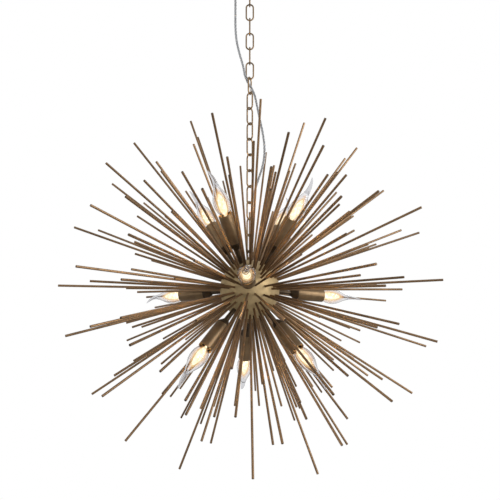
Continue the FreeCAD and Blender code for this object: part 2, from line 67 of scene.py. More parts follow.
def addNode(tree, kind, inputs=None, **settings):
    node = tree.nodes.new(kind)
    for key, value in settings.items():
        setattr(node, key, value)
    for key, value in (inputs or {}).items():
        if isinstance(value, bpy.types.NodeSocket):
            tree.links.new(value, node.inputs[key])
        else:
            node.inputs[key].default_value = value
    return node


def calc(tree, operation, first, second=0.0, third=0.0, clamp=False):
    return addNode(tree, "ShaderNodeMath", {0: first, 1: second, 2: third},
                   operation=operation, use_clamp=clamp).outputs[0]


def paint(red, green, blue):
    # colour picked on screen (0 to 255) as a linear one
    def linear(c):
        c /= 255
        return c / 12.92 if c <= 0.04045 else ((c + 0.055) / 1.055) ** 2.4
    return (linear(red), linear(green), linear(blue), 1.0)


def finishMesh(mesh, sharpAngle=35.0):
    # smooth faces with crisp edges where they turn sharply
    work = bmesh.new()
    work.from_mesh(mesh)
    for face in work.faces:
        face.smooth = True
    limit = math.radians(sharpAngle)
    for edge in work.edges:
        if len(edge.link_faces) == 2 and edge.calc_face_angle() > limit:
            edge.smooth = False
    work.to_mesh(mesh)
    work.free()
    return mesh


def newPiece(name, mesh, body, replaced=()):
    mesh.name = name
    piece = bpy.data.objects.new(name, mesh)
    scene.collection.objects.link(piece)
    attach(piece, body)
    if replaced:
        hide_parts(*replaced)
    return piece


def newTree(name, inputs):
    tree = bpy.data.node_groups.new(name, "GeometryNodeTree")
    tree.is_modifier = True
    tree.interface.new_socket("Geometry", in_out="INPUT", socket_type="NodeSocketGeometry")
    for label, kind in inputs:
        tree.interface.new_socket(label, in_out="INPUT", socket_type="NodeSocket" + kind)
    tree.interface.new_socket("Geometry", in_out="OUTPUT", socket_type="NodeSocketGeometry")
    return tree, tree.nodes.new("NodeGroupInput").outputs


def closeTree(tree, geometry, finish):
    # every tree ends the same way: real geometry with its material
    real = addNode(tree, "GeometryNodeRealizeInstances", {"Geometry": geometry})
    painted = addNode(tree, "GeometryNodeSetMaterial", {"Geometry": real.outputs[0],
                                                        "Material": finish})
    out = tree.nodes.new("NodeGroupOutput")
    tree.links.new(painted.outputs[0], out.inputs[0])


def runTree(tree, carrierMesh, values):
    carrier = bpy.data.objects.new("carrier", carrierMesh)
    scene.collection.objects.link(carrier)
    modifier = carrier.modifiers.new("build", "NODES")
    modifier.node_group = tree
    for item in tree.interface.items_tree:
        if item.in_out == "INPUT" and item.name in values:
            modifier[item.identifier] = values[item.name]
    graph = bpy.context.evaluated_depsgraph_get()
    made = bpy.data.meshes.new_from_object(carrier.evaluated_get(graph),
                                           preserve_all_data_layers=True, depsgraph=graph)
    bpy.data.objects.remove(carrier)
    return made


def namedValue(tree, name, kind="FLOAT"):
    return addNode(tree, "GeometryNodeInputNamedAttribute", {"Name": name},
                   data_type=kind).outputs[0]


def aim(azimuth, elevation, roll=0.0):
    # a shape standing on Z at the ball's centre, turned the way its lamp or rod points
    return (Matrix.Translation((0, 0, hubZ * mm)) @ Matrix.Rotation(math.radians(azimuth), 4, "Z")
            @ Matrix.Rotation(math.radians(90 - elevation), 4, "X")
            @ Matrix.Rotation(math.radians(roll), 4, "Z"))


# materials

wearLook = {"width": 0.7 * mm, "gain": 7.0, "breakScale": 260.0}
dustLook = {"scale": 90.0, "color": paint(196, 190, 180)}


def newGroup(name, inputs, outputs):
    group = bpy.data.node_groups.new(name, "ShaderNodeTree")
    for label, kind in inputs:
        group.interface.new_socket(label, in_out="INPUT", socket_type="NodeSocket" + kind)
    for label, kind in outputs:
        group.interface.new_socket(label, in_out="OUTPUT", socket_type="NodeSocket" + kind)
    given = group.nodes.new("NodeGroupInput").outputs
    return group, given, group.nodes.new("NodeGroupOutput").inputs


def makePatina():
    # slow blotches of two tones, with fine grain for roughness and height
    group, given, result = newGroup(
        "patina",
        [("Base", "Color"), ("Deep", "Color"), ("Patch Scale", "Float"), ("Patch Amount", "Float"),
         ("Grain Scale", "Float"), ("Roughness", "Float"), ("Roughness Spread", "Float")],
        [("Color", "Color"), ("Roughness", "Float"), ("Height", "Float")])
    place = group.nodes.new("ShaderNodeTexCoord").outputs["Object"]
    patch = addNode(group, "ShaderNodeTexNoise", {"Vector": place, "Scale": given["Patch Scale"],
                                                  "Detail": 5.0, "Roughness": 0.6})
    spread = addNode(group, "ShaderNodeMapRange", {"Value": patch.outputs["Fac"], "From Min": 0.35,
                                                   "From Max": 0.68})
    share = calc(group, "MULTIPLY", spread.outputs[0], given["Patch Amount"], clamp=True)
    grain = addNode(group, "ShaderNodeTexNoise", {"Vector": place, "Scale": given["Grain Scale"],
                                                  "Detail": 3.0, "Roughness": 0.65})
    mixed = addNode(group, "ShaderNodeMix", data_type="RGBA")
    group.links.new(share, mixed.inputs[0])
    group.links.new(given["Base"], mixed.inputs[6])
    group.links.new(given["Deep"], mixed.inputs[7])
    speckle = addNode(group, "ShaderNodeMapRange", {"Value": grain.outputs["Fac"], "To Min": 0.95,
                                                    "To Max": 1.05})
    toned = addNode(group, "ShaderNodeVectorMath", {0: mixed.outputs[2], 3: speckle.outputs[0]},
                    operation="SCALE")
    group.links.new(toned.outputs[0], result["Color"])
    away = calc(group, "SUBTRACT", grain.outputs["Fac"], 0.5)
    both = calc(group, "ADD", away, calc(group, "MULTIPLY", spread.outputs[0], 0.5))
    rough = calc(group, "MULTIPLY_ADD", both, given["Roughness Spread"], given["Roughness"],
                 clamp=True)
    group.links.new(rough, result["Roughness"])
    group.links.new(grain.outputs["Fac"], result["Height"])
    return group


def makeEdgeWear():
    # mask of edges rubbed bright, broken up by noise
    group, given, result = newGroup("edgeWear", [("Width", "Float"), ("Amount", "Float")],
                                    [("Mask", "Float")])
    rounded = addNode(group, "ShaderNodeBevel", {"Radius": given["Width"]}, samples=4)
    geometry = group.nodes.new("ShaderNodeNewGeometry")
    alike = addNode(group, "ShaderNodeVectorMath",
                    {0: rounded.outputs[0], 1: geometry.outputs["Normal"]}, operation="DOT_PRODUCT")
    turned = calc(group, "SUBTRACT", 1.0, alike.outputs["Value"])
    edge = calc(group, "MULTIPLY", turned, wearLook["gain"], clamp=True)
    place = group.nodes.new("ShaderNodeTexCoord").outputs["Object"]
    breaks = addNode(group, "ShaderNodeTexNoise", {"Vector": place, "Scale": wearLook["breakScale"],
                                                   "Detail": 3.0})
    broken = addNode(group, "ShaderNodeMapRange", {"Value": breaks.outputs["Fac"], "From Min": 0.35,
                                                   "From Max": 0.6})
    rubbed = calc(group, "MULTIPLY", edge, broken.outputs[0])
    mask = calc(group, "MULTIPLY", rubbed, given["Amount"], clamp=True)
    group.links.new(mask, result["Mask"])
    return group


def makeDust():
    # faint dust on what faces up
    group, given, result = newGroup("dust", [("Amount", "Float")], [("Mask", "Float")])
    geometry = group.nodes.new("ShaderNodeNewGeometry")
    parts = addNode(group, "ShaderNodeSeparateXYZ", {0: geometry.outputs["Normal"]})
    facing = calc(group, "POWER", calc(group, "MAXIMUM", parts.outputs["Z"], 0.0), 2.0)
    place = group.nodes.new("ShaderNodeTexCoord").outputs["Object"]
    cloud = addNode(group, "ShaderNodeTexNoise", {"Vector": place, "Scale": dustLook["scale"],
                                                  "Detail": 6.0, "Roughness": 0.7})
    settled = calc(group, "MULTIPLY", facing, cloud.outputs["Fac"])
    mask = calc(group, "MULTIPLY", settled, given["Amount"], clamp=True)
    group.links.new(mask, result["Mask"])
    return group


patina, edgeWear, dust = makePatina(), makeEdgeWear(), makeDust()

# what a user would change about each metal or plastic
metals = {
    "antique_brass": {
        "base": paint(120, 99, 73), "deep": paint(88, 72, 54), "metallic": 0.85, "roughness": 0.40,
        "spread": 0.14, "patch": 38.0, "amount": 0.7, "grain": 1400.0, "bump": 0.08,
        "wear": 0.7, "bright": paint(190, 165, 120), "dust": 0.04},
    "satin_brass": {
        "base": paint(176, 154, 114), "deep": paint(146, 126, 92), "metallic": 0.7,
        "roughness": 0.56, "spread": 0.12, "patch": 46.0, "amount": 0.7, "grain": 1100.0,
        "bump": 0.12, "wear": 0.3, "bright": paint(214, 192, 148), "dust": 0.04},
    "rod_bronze": {
        "base": paint(130, 103, 74), "deep": paint(95, 75, 55), "metallic": 0.8, "roughness": 0.44,
        "spread": 0.08, "patch": 22.0, "amount": 0.8, "grain": 700.0, "bump": 0.016, "tone": 0.5},
    # cut_end is a painted shade, a darker copy of rod_bronze for the rods' flat end faces
    "cut_end": {
        "base": paint(84, 68, 52), "deep": paint(62, 50, 40), "metallic": 0.8, "roughness": 0.44,
        "spread": 0.08, "patch": 22.0, "amount": 0.8, "grain": 700.0, "bump": 0.016},
    "dark_bronze": {
        "base": paint(74, 61, 46), "deep": paint(48, 39, 30), "metallic": 0.8, "roughness": 0.42,
        "spread": 0.2, "patch": 60.0, "amount": 0.7, "grain": 1300.0, "bump": 0.24,
        "wear": 0.6, "bright": paint(130, 105, 72), "dust": 0.10},
    "chain_bronze": {
        "base": paint(136, 112, 82), "deep": paint(98, 80, 58), "metallic": 0.85,
        "roughness": 0.36, "spread": 0.22, "patch": 90.0, "amount": 0.8, "grain": 1600.0,
        "bump": 0.24, "dust": 0.08},
    "zinc_steel": {
        "base": paint(176, 178, 180), "deep": paint(140, 142, 146), "metallic": 0.9,
        "roughness": 0.34, "spread": 0.25, "patch": 120.0, "amount": 0.6, "grain": 900.0,
        "bump": 0.2, "wear": 0.4, "bright": paint(205, 207, 210), "dust": 0.08},
    "nickel": {
        "base": paint(200, 196, 186), "deep": paint(168, 162, 150), "metallic": 0.95,
        "roughness": 0.24, "spread": 0.2, "patch": 160.0, "amount": 0.5, "grain": 1800.0,
        "bump": 0.12},
    "tinned_strand": {
        "base": paint(186, 188, 192), "deep": paint(166, 168, 172), "metallic": 0.1,
        "roughness": 0.5, "spread": 0.1, "patch": 160.0, "amount": 0.5, "grain": 1800.0,
        "bump": 0.04},
    "contact_brass": {
        "base": paint(205, 170, 96), "deep": paint(168, 132, 70), "metallic": 0.95,
        "roughness": 0.3, "spread": 0.2, "patch": 200.0, "amount": 0.6, "grain": 1800.0,
        "bump": 0.12},
    "black_plastic": {
        "base": paint(34, 33, 32), "deep": paint(24, 23, 23), "metallic": 0.0, "roughness": 0.45,
        "spread": 0.2, "patch": 80.0, "amount": 0.6, "grain": 2200.0, "bump": 0.2,
        "wear": 0.4, "bright": paint(70, 68, 65), "dust": 0.12},
    "white_plastic": {
        "base": paint(226, 224, 218), "deep": paint(206, 203, 195), "metallic": 0.0,
        "roughness": 0.42, "spread": 0.15, "patch": 70.0, "amount": 0.6, "grain": 1900.0,
        "bump": 0.16, "wear": 0.2, "bright": paint(238, 236, 232), "dust": 0.08},
    "lead_insulation": {
        "base": paint(205, 203, 198), "deep": paint(178, 175, 168), "metallic": 0.0,
        "roughness": 0.5, "spread": 0.15, "patch": 90.0, "amount": 0.6, "grain": 1700.0,
        "bump": 0.16, "dust": 0.05},
}


def mixColor(tree, share, first, second):
    mix = addNode(tree, "ShaderNodeMix", data_type="RGBA")
    tree.links.new(share, mix.inputs[0])
    for inlet, value in ((mix.inputs[6], first), (mix.inputs[7], second)):
        if isinstance(value, bpy.types.NodeSocket):
            tree.links.new(value, inlet)
        else:
            inlet.default_value = value
    return mix.outputs[2]


def newMaterial(name):
    material = bpy.data.materials.new(name)
    material.use_nodes = True
    tree = material.node_tree
    return material, tree, tree.nodes["Principled BSDF"]


def makeMetal(name, look):
    material, tree, shader = newMaterial(name)
    body = addNode(tree, "ShaderNodeGroup", node_tree=patina)
    for label, key in (("Base", "base"), ("Deep", "deep"), ("Patch Scale", "patch"),
                       ("Patch Amount", "amount"), ("Grain Scale", "grain"),
                       ("Roughness", "roughness"), ("Roughness Spread", "spread")):
        body.inputs[label].default_value = look[key]
    color = body.outputs["Color"]
    if "tone" in look:
        # each rod is a little lighter or darker than the next
        tone = addNode(tree, "ShaderNodeAttribute", attribute_name="tone").outputs["Fac"]
        factor = calc(tree, "MULTIPLY_ADD", tone, look["tone"], 1.0 - look["tone"] / 2)
        color = addNode(tree, "ShaderNodeVectorMath", {0: color, 3: factor},
                        operation="SCALE").outputs[0]
    if "wear" in look:
        worn = addNode(tree, "ShaderNodeGroup", node_tree=edgeWear)
        worn.inputs["Width"].default_value = wearLook["width"]
        worn.inputs["Amount"].default_value = look["wear"]
        color = mixColor(tree, worn.outputs["Mask"], color, look["bright"])
    if "dust" in look:
        veil = addNode(tree, "ShaderNodeGroup", node_tree=dust)
        veil.inputs["Amount"].default_value = look["dust"]
        color = mixColor(tree, veil.outputs["Mask"], color, dustLook["color"])
    tree.links.new(color, shader.inputs["Base Color"])
    tree.links.new(body.outputs["Roughness"], shader.inputs["Roughness"])
    shader.inputs["Metallic"].default_value = look["metallic"]
    bump = addNode(tree, "ShaderNodeBump", {"Height": body.outputs["Height"],
                                            "Strength": look["bump"], "Distance": 0.2 * mm})
    tree.links.new(bump.outputs[0], shader.inputs["Normal"])
    return material


finishes = {name: makeMetal(name, look) for name, look in metals.items()}

# the rim colour of each clear look is a painted shade, the tint where the wall is seen edge on
glassLook = {"tint": (0.91, 0.905, 0.91, 1.0), "edgeShade": (0.20, 0.17, 0.14, 1.0), "roughness": 0.0,
             "ior": 1.20, "rippleScale": 25.0, "bump": 0.006}
tipLook = {"tint": (0.66, 0.66, 0.68, 1.0), "edgeShade": (0.40, 0.40, 0.41, 1.0), "roughness": 0.05,
           "ior": 1.10, "rippleScale": 25.0, "bump": 0.006}
cordLook = {"tint": (0.84, 0.84, 0.83, 1.0), "edgeShade": (0.56, 0.56, 0.56, 1.0), "roughness": 0.12,
            "ior": 1.12, "rippleScale": 300.0, "bump": 0.08}
glowLook = {
    "core": {"share": 0.46, "top": 54.0, "low": 0.85, "alpha": 1.0, "strength": 1.9,
             "color": (1.0, 0.93, 0.70, 1.0)},
    "middle": {"share": 0.66, "top": 60.0, "low": 0.20, "alpha": 0.55, "strength": 1.1,
               "color": (1.0, 0.72, 0.34, 1.0)},
    "edge": {"share": 0.88, "top": 66.0, "low": 0.06, "alpha": 0.30, "strength": 0.9,
             "color": (1.0, 0.52, 0.22, 1.0)},
}


def makeClear(name, look):
    material, tree, shader = newMaterial(name)
    # painted shade: the clear wall is tinted darker where it is seen edge on
    facing = addNode(tree, "ShaderNodeLayerWeight", {"Blend": 0.35})
    edgeShade = calc(tree, "POWER", facing.outputs["Facing"], 2.2)
    tree.links.new(mixColor(tree, edgeShade, look["tint"], look["edgeShade"]), shader.inputs["Base Color"])
    shader.inputs["Roughness"].default_value = look["roughness"]
    shader.inputs["IOR"].default_value = look["ior"]
    shader.inputs["Transmission Weight"].default_value = 1.0
    place = tree.nodes.new("ShaderNodeTexCoord").outputs["Object"]
    ripple = addNode(tree, "ShaderNodeTexNoise", {"Vector": place, "Scale": look["rippleScale"],
                                                  "Detail": 1.0})
    bump = addNode(tree, "ShaderNodeBump", {"Height": ripple.outputs["Fac"],
                                            "Strength": look["bump"], "Distance": mm})
    tree.links.new(bump.outputs[0], shader.inputs["Normal"])
    return material


def makeGlow(name, look):
    # lit air round the filament: patchy, brighter towards the middle
    material, tree, shader = newMaterial(name)
    material.cycles.emission_sampling = "NONE"
    shader.inputs["Base Color"].default_value = (0, 0, 0, 1)
    shader.inputs["Specular IOR Level"].default_value = 0.0
    shader.inputs["Emission Color"].default_value = look["color"]
    shader.inputs["Emission Strength"].default_value = look["strength"]
    place = tree.nodes.new("ShaderNodeTexCoord").outputs["Object"]
    patches = addNode(tree, "ShaderNodeTexNoise", {"Vector": place, "Scale": 150.0, "Detail": 3.0})
    share = addNode(tree, "ShaderNodeMapRange", {"Value": patches.outputs["Fac"], "From Min": 0.40,
                                                 "From Max": 0.60, "To Min": look["low"],
                                                 "To Max": look["alpha"]})
    tree.links.new(share.outputs[0], shader.inputs["Alpha"])
    return material


filamentLook = {"base": (0.1, 0.09, 0.08, 1.0), "cool": (1.0, 0.66, 0.30, 1.0),
                "hot": (1.0, 0.92, 0.72, 1.0), "strength": 14.0, "scale": 120.0}


def makeFilament(name, look):
    material, tree, shader = newMaterial(name)
    material.cycles.emission_sampling = "NONE"
    shader.inputs["Base Color"].default_value = look["base"]
    shader.inputs["Emission Strength"].default_value = look["strength"]
    place = tree.nodes.new("ShaderNodeTexCoord").outputs["Object"]
    heat = addNode(tree, "ShaderNodeTexNoise", {"Vector": place, "Scale": look["scale"]})
    hot = mixColor(tree, heat.outputs["Fac"], look["cool"], look["hot"])
    tree.links.new(hot, shader.inputs["Emission Color"])
    return material


finishes["clear_glass"] = makeClear("clear_glass", glassLook)
finishes["glass_tip"] = makeClear("glass_tip", tipLook)
finishes["clear_pvc"] = makeClear("clear_pvc", cordLook)
finishes["filament"] = makeFilament("filament", filamentLook)
for name, look in glowLook.items():
    finishes["glow_" + name] = makeGlow("glow_" + name, look)
print("materials ready:", len(finishes))


# clear cord

cordSizes = {"diameter": 5.5, "length": 717.7, "strands": 3, "strandDiameter": 2.0,
             "strandOffset": 1.2, "strandStep": 2.2, "layLength": 26.0}
# the route in mm, the same as the source's
cordRoute = [
    (-34.0, 0.0, -19.1), (-34.0, 0.0, -58.0), (-33.6, -1.0, -100.0), (-33.8, -2.6, -140.0),
    (-32.0, -5.0, -180.0), (-24.5, -8.0, -218.0), (-15.0, -8.5, -250.0), (-10.0, -3.5, -280.4),
    (10.0, 1.5, -310.4), (15.5, 6.0, -335.0), (21.5, 10.0, -366.0), (30.0, 8.0, -407.0),
    (34.5, 6.0, -449.0), (29.5, 7.0, -486.0), (18.0, 10.5, -519.0), (7.0, 14.0, -554.0),
    (3.8, 15.0, -596.0), (3.2, 15.0, -646.0), (3.0, 15.0, -683.8), (3.0, 15.0, -721.2)]

cordCurve = bpy.data.curves.new("clearCord", "CURVE")
cordCurve.dimensions = "3D"
cordCurve.resolution_u = 12
cordSpline = cordCurve.splines.new("NURBS")
cordSpline.points.add(len(cordRoute) - 1)
for point, (x, y, z) in zip(cordSpline.points, cordRoute):
    point.co = (x * mm, y * mm, z * mm, 1.0)
cordSpline.order_u = 3
cordSpline.use_endpoint_u = True
cord = bpy.data.objects.new("clearCord", cordCurve)
scene.collection.objects.link(cord)
graph = bpy.context.evaluated_depsgraph_get()
cordLine = bpy.data.meshes.new_from_object(cord.evaluated_get(graph), depsgraph=graph)
cordCurve.bevel_depth = cordSizes["diameter"] / 2 * mm
cordCurve.bevel_resolution = 6
cordCurve.use_fill_caps = True
cordCurve.materials.append(finishes["clear_pvc"])


def makeStrandTree():
    # strands laid round the cord's own line
    tree, given = newTree("strandLay", [
        ("Strand Diameter", "Float"), ("Offset", "Float"), ("Step", "Float"),
        ("Lay Length", "Float"), ("Finish", "Material")])
    line = addNode(tree, "GeometryNodeMeshToCurve", {"Mesh": given["Geometry"]})
    fine = addNode(tree, "GeometryNodeResampleCurve", {"Curve": line.outputs[0],
                                                       "Length": given["Step"]}, mode="LENGTH")
    along = tree.nodes.new("GeometryNodeSplineParameter").outputs["Length"]
    turns = calc(tree, "DIVIDE", along, given["Lay Length"])
    normal = tree.nodes.new("GeometryNodeInputNormal").outputs[0]
    tangent = tree.nodes.new("GeometryNodeInputTangent").outputs[0]
    radius = calc(tree, "MULTIPLY", given["Strand Diameter"], 0.5)
    profile = addNode(tree, "GeometryNodeCurvePrimitiveCircle", {"Resolution": 8, "Radius": radius})
    joined = tree.nodes.new("GeometryNodeJoinGeometry")
    for strand in range(cordSizes["strands"]):
        share = calc(tree, "ADD", turns, strand / cordSizes["strands"])
        angle = calc(tree, "MULTIPLY", share, math.tau)
        turned = addNode(tree, "ShaderNodeVectorRotate", {"Vector": normal, "Axis": tangent,
                                                          "Angle": angle})
        step = addNode(tree, "ShaderNodeVectorMath", {0: turned.outputs[0], 3: given["Offset"]},
                       operation="SCALE")
        moved = addNode(tree, "GeometryNodeSetPosition", {"Geometry": fine.outputs[0],
                                                          "Offset": step.outputs[0]})
        solid = addNode(tree, "GeometryNodeCurveToMesh", {"Curve": moved.outputs[0],
                                                          "Profile Curve": profile.outputs[0],
                                                          "Fill Caps": True})
        tree.links.new(solid.outputs[0], joined.inputs[0])
    closeTree(tree, joined.outputs[0], given["Finish"])
    return tree


strandMesh = runTree(makeStrandTree(), cordLine, {
    "Strand Diameter": cordSizes["strandDiameter"] * mm, "Offset": cordSizes["strandOffset"] * mm,
    "Step": cordSizes["strandStep"] * mm, "Lay Length": cordSizes["layLength"] * mm,
    "Finish": finishes["tinned_strand"]})
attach(cord, "chain")
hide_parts("clear_cord")
strands = newPiece("cordStrands", finishMesh(strandMesh), "chain")
print("cord laid")


# chain

chainSizes = {"links": 16, "wire": 3.5, "innerLength": 37.0, "outerWidth": 20.0, "pitch": 36.9,
              "firstHeight": -74.0, "endHeight": -664.2, "twistFirst": 7, "twistStep": 22.5,
              "twistTotal": 45.0, "weldLength": 1.6, "weldSwell": 1.07, "sides": 14,
              "roundSteps": 10}


def makeChainTree():
    # oval links, each a quarter turn from the last, with a slow twist and a weld on one side
    tree, given = newTree("ovalChain", [
        ("Links", "Int"), ("First Link", "Int"), ("Pitch", "Float"), ("Height", "Float"),
        ("Wire", "Float"), ("Inner Length", "Float"), ("Outer Width", "Float"),
        ("Twist First", "Float"), ("Twist Step", "Float"), ("Twist Total", "Float"),
        ("Weld Length", "Float"), ("Weld Swell", "Float"), ("Sides", "Int"), ("Round Steps", "Int"),
        ("Finish", "Material")])
    width = calc(tree, "SUBTRACT", given["Outer Width"], given["Wire"])
    length = calc(tree, "ADD", given["Inner Length"], given["Wire"])
    outline = addNode(tree, "GeometryNodeCurvePrimitiveQuadrilateral", {"Width": width,
                                                                        "Height": length})
    rounding = calc(tree, "MULTIPLY", width, 0.4995)  # a hair under half the width
    oval = addNode(tree, "GeometryNodeFilletCurve", {"Curve": outline.outputs[0],
                                                     "Count": given["Round Steps"],
                                                     "Radius": rounding}, mode="POLY")
    upright = addNode(tree, "GeometryNodeTransform", {"Geometry": oval.outputs[0]})
    upright.inputs["Rotation"].default_value = (math.pi / 2, 0, 0)
    radius = calc(tree, "MULTIPLY", given["Wire"], 0.5)
    profile = addNode(tree, "GeometryNodeCurvePrimitiveCircle", {"Resolution": given["Sides"],
                                                                 "Radius": radius})
    ring = addNode(tree, "GeometryNodeCurveToMesh", {"Curve": upright.outputs[0],
                                                     "Profile Curve": profile.outputs[0]})
    side = calc(tree, "MULTIPLY", width, 0.5)
    place = addNode(tree, "ShaderNodeCombineXYZ", {"X": side})
    weldRadius = calc(tree, "MULTIPLY", radius, given["Weld Swell"])
    weld = addNode(tree, "GeometryNodeMeshCylinder", {"Vertices": given["Sides"],
                                                      "Radius": weldRadius,
                                                      "Depth": given["Weld Length"]})
    seam = addNode(tree, "GeometryNodeTransform", {"Geometry": weld.outputs[0],
                                                   "Translation": place.outputs[0]})
    link = tree.nodes.new("GeometryNodeJoinGeometry")
    tree.links.new(ring.outputs[0], link.inputs[0])
    tree.links.new(seam.outputs[0], link.inputs[0])
    start = addNode(tree, "ShaderNodeCombineXYZ", {"Z": given["Height"]})
    down = calc(tree, "MULTIPLY", given["Pitch"], -1.0)
    step = addNode(tree, "ShaderNodeCombineXYZ", {"Z": down})
    row = addNode(tree, "GeometryNodeMeshLine", {"Count": given["Links"],
                                                 "Start Location": start.outputs[0],
                                                 "Offset": step.outputs[0]})
    index = tree.nodes.new("GeometryNodeInputIndex").outputs[0]
    number = calc(tree, "ADD", index, given["First Link"])
    odd = calc(tree, "MULTIPLY", calc(tree, "MODULO", number, 2.0), 90.0)
    past = calc(tree, "ADD", calc(tree, "SUBTRACT", number, given["Twist First"]), 1.0)
    since = calc(tree, "MAXIMUM", past, 0.0)
    twisted = calc(tree, "MULTIPLY", since, given["Twist Step"])
    twist = calc(tree, "MINIMUM", twisted, given["Twist Total"])
    angle = calc(tree, "RADIANS", calc(tree, "SUBTRACT", odd, twist))
    turn = addNode(tree, "ShaderNodeCombineXYZ", {"Z": angle})
    hung = addNode(tree, "GeometryNodeInstanceOnPoints", {"Points": row.outputs[0],
                                                          "Instance": link.outputs[0],
                                                          "Rotation": turn.outputs[0]})
    closeTree(tree, hung.outputs[0], given["Finish"])
    return tree


def chainMesh(tree, links, firstLink, height):
    c = chainSizes
    sizes = {"Links": links, "First Link": firstLink, "Pitch": c["pitch"] * mm,
             "Height": height * mm, "Wire": c["wire"] * mm, "Inner Length": c["innerLength"] * mm,
             "Outer Width": c["outerWidth"] * mm, "Twist First": float(c["twistFirst"]),
             "Twist Step": c["twistStep"], "Twist Total": c["twistTotal"],
             "Weld Length": c["weldLength"] * mm, "Weld Swell": c["weldSwell"],
             "Sides": c["sides"], "Round Steps": c["roundSteps"],
             "Finish": finishes["chain_bronze"]}
    return finishMesh(runTree(tree, bpy.data.meshes.new("start"), sizes))


chainTree = makeChainTree()
newPiece("chainLinks", chainMesh(chainTree, chainSizes["links"], 1, chainSizes["firstHeight"]),
         "chain", ["chain_links"])
newPiece("endLink", chainMesh(chainTree, 1, chainSizes["links"] + 1, chainSizes["endHeight"]),
         "end_link", ["end_link"])
print("chain hung")


# rods

rodSizes = {"diameter": 4.8, "foot": 61.45, "long": 400.0, "medium": 335.0, "short": 270.0,
            "endBevel": 0.35, "sides": 16, "toneSeed": 7, "firstRow": 1.0, "rowSpacing": 17.0}
rodLetters = {"L": "long", "M": "medium", "S": "short"}
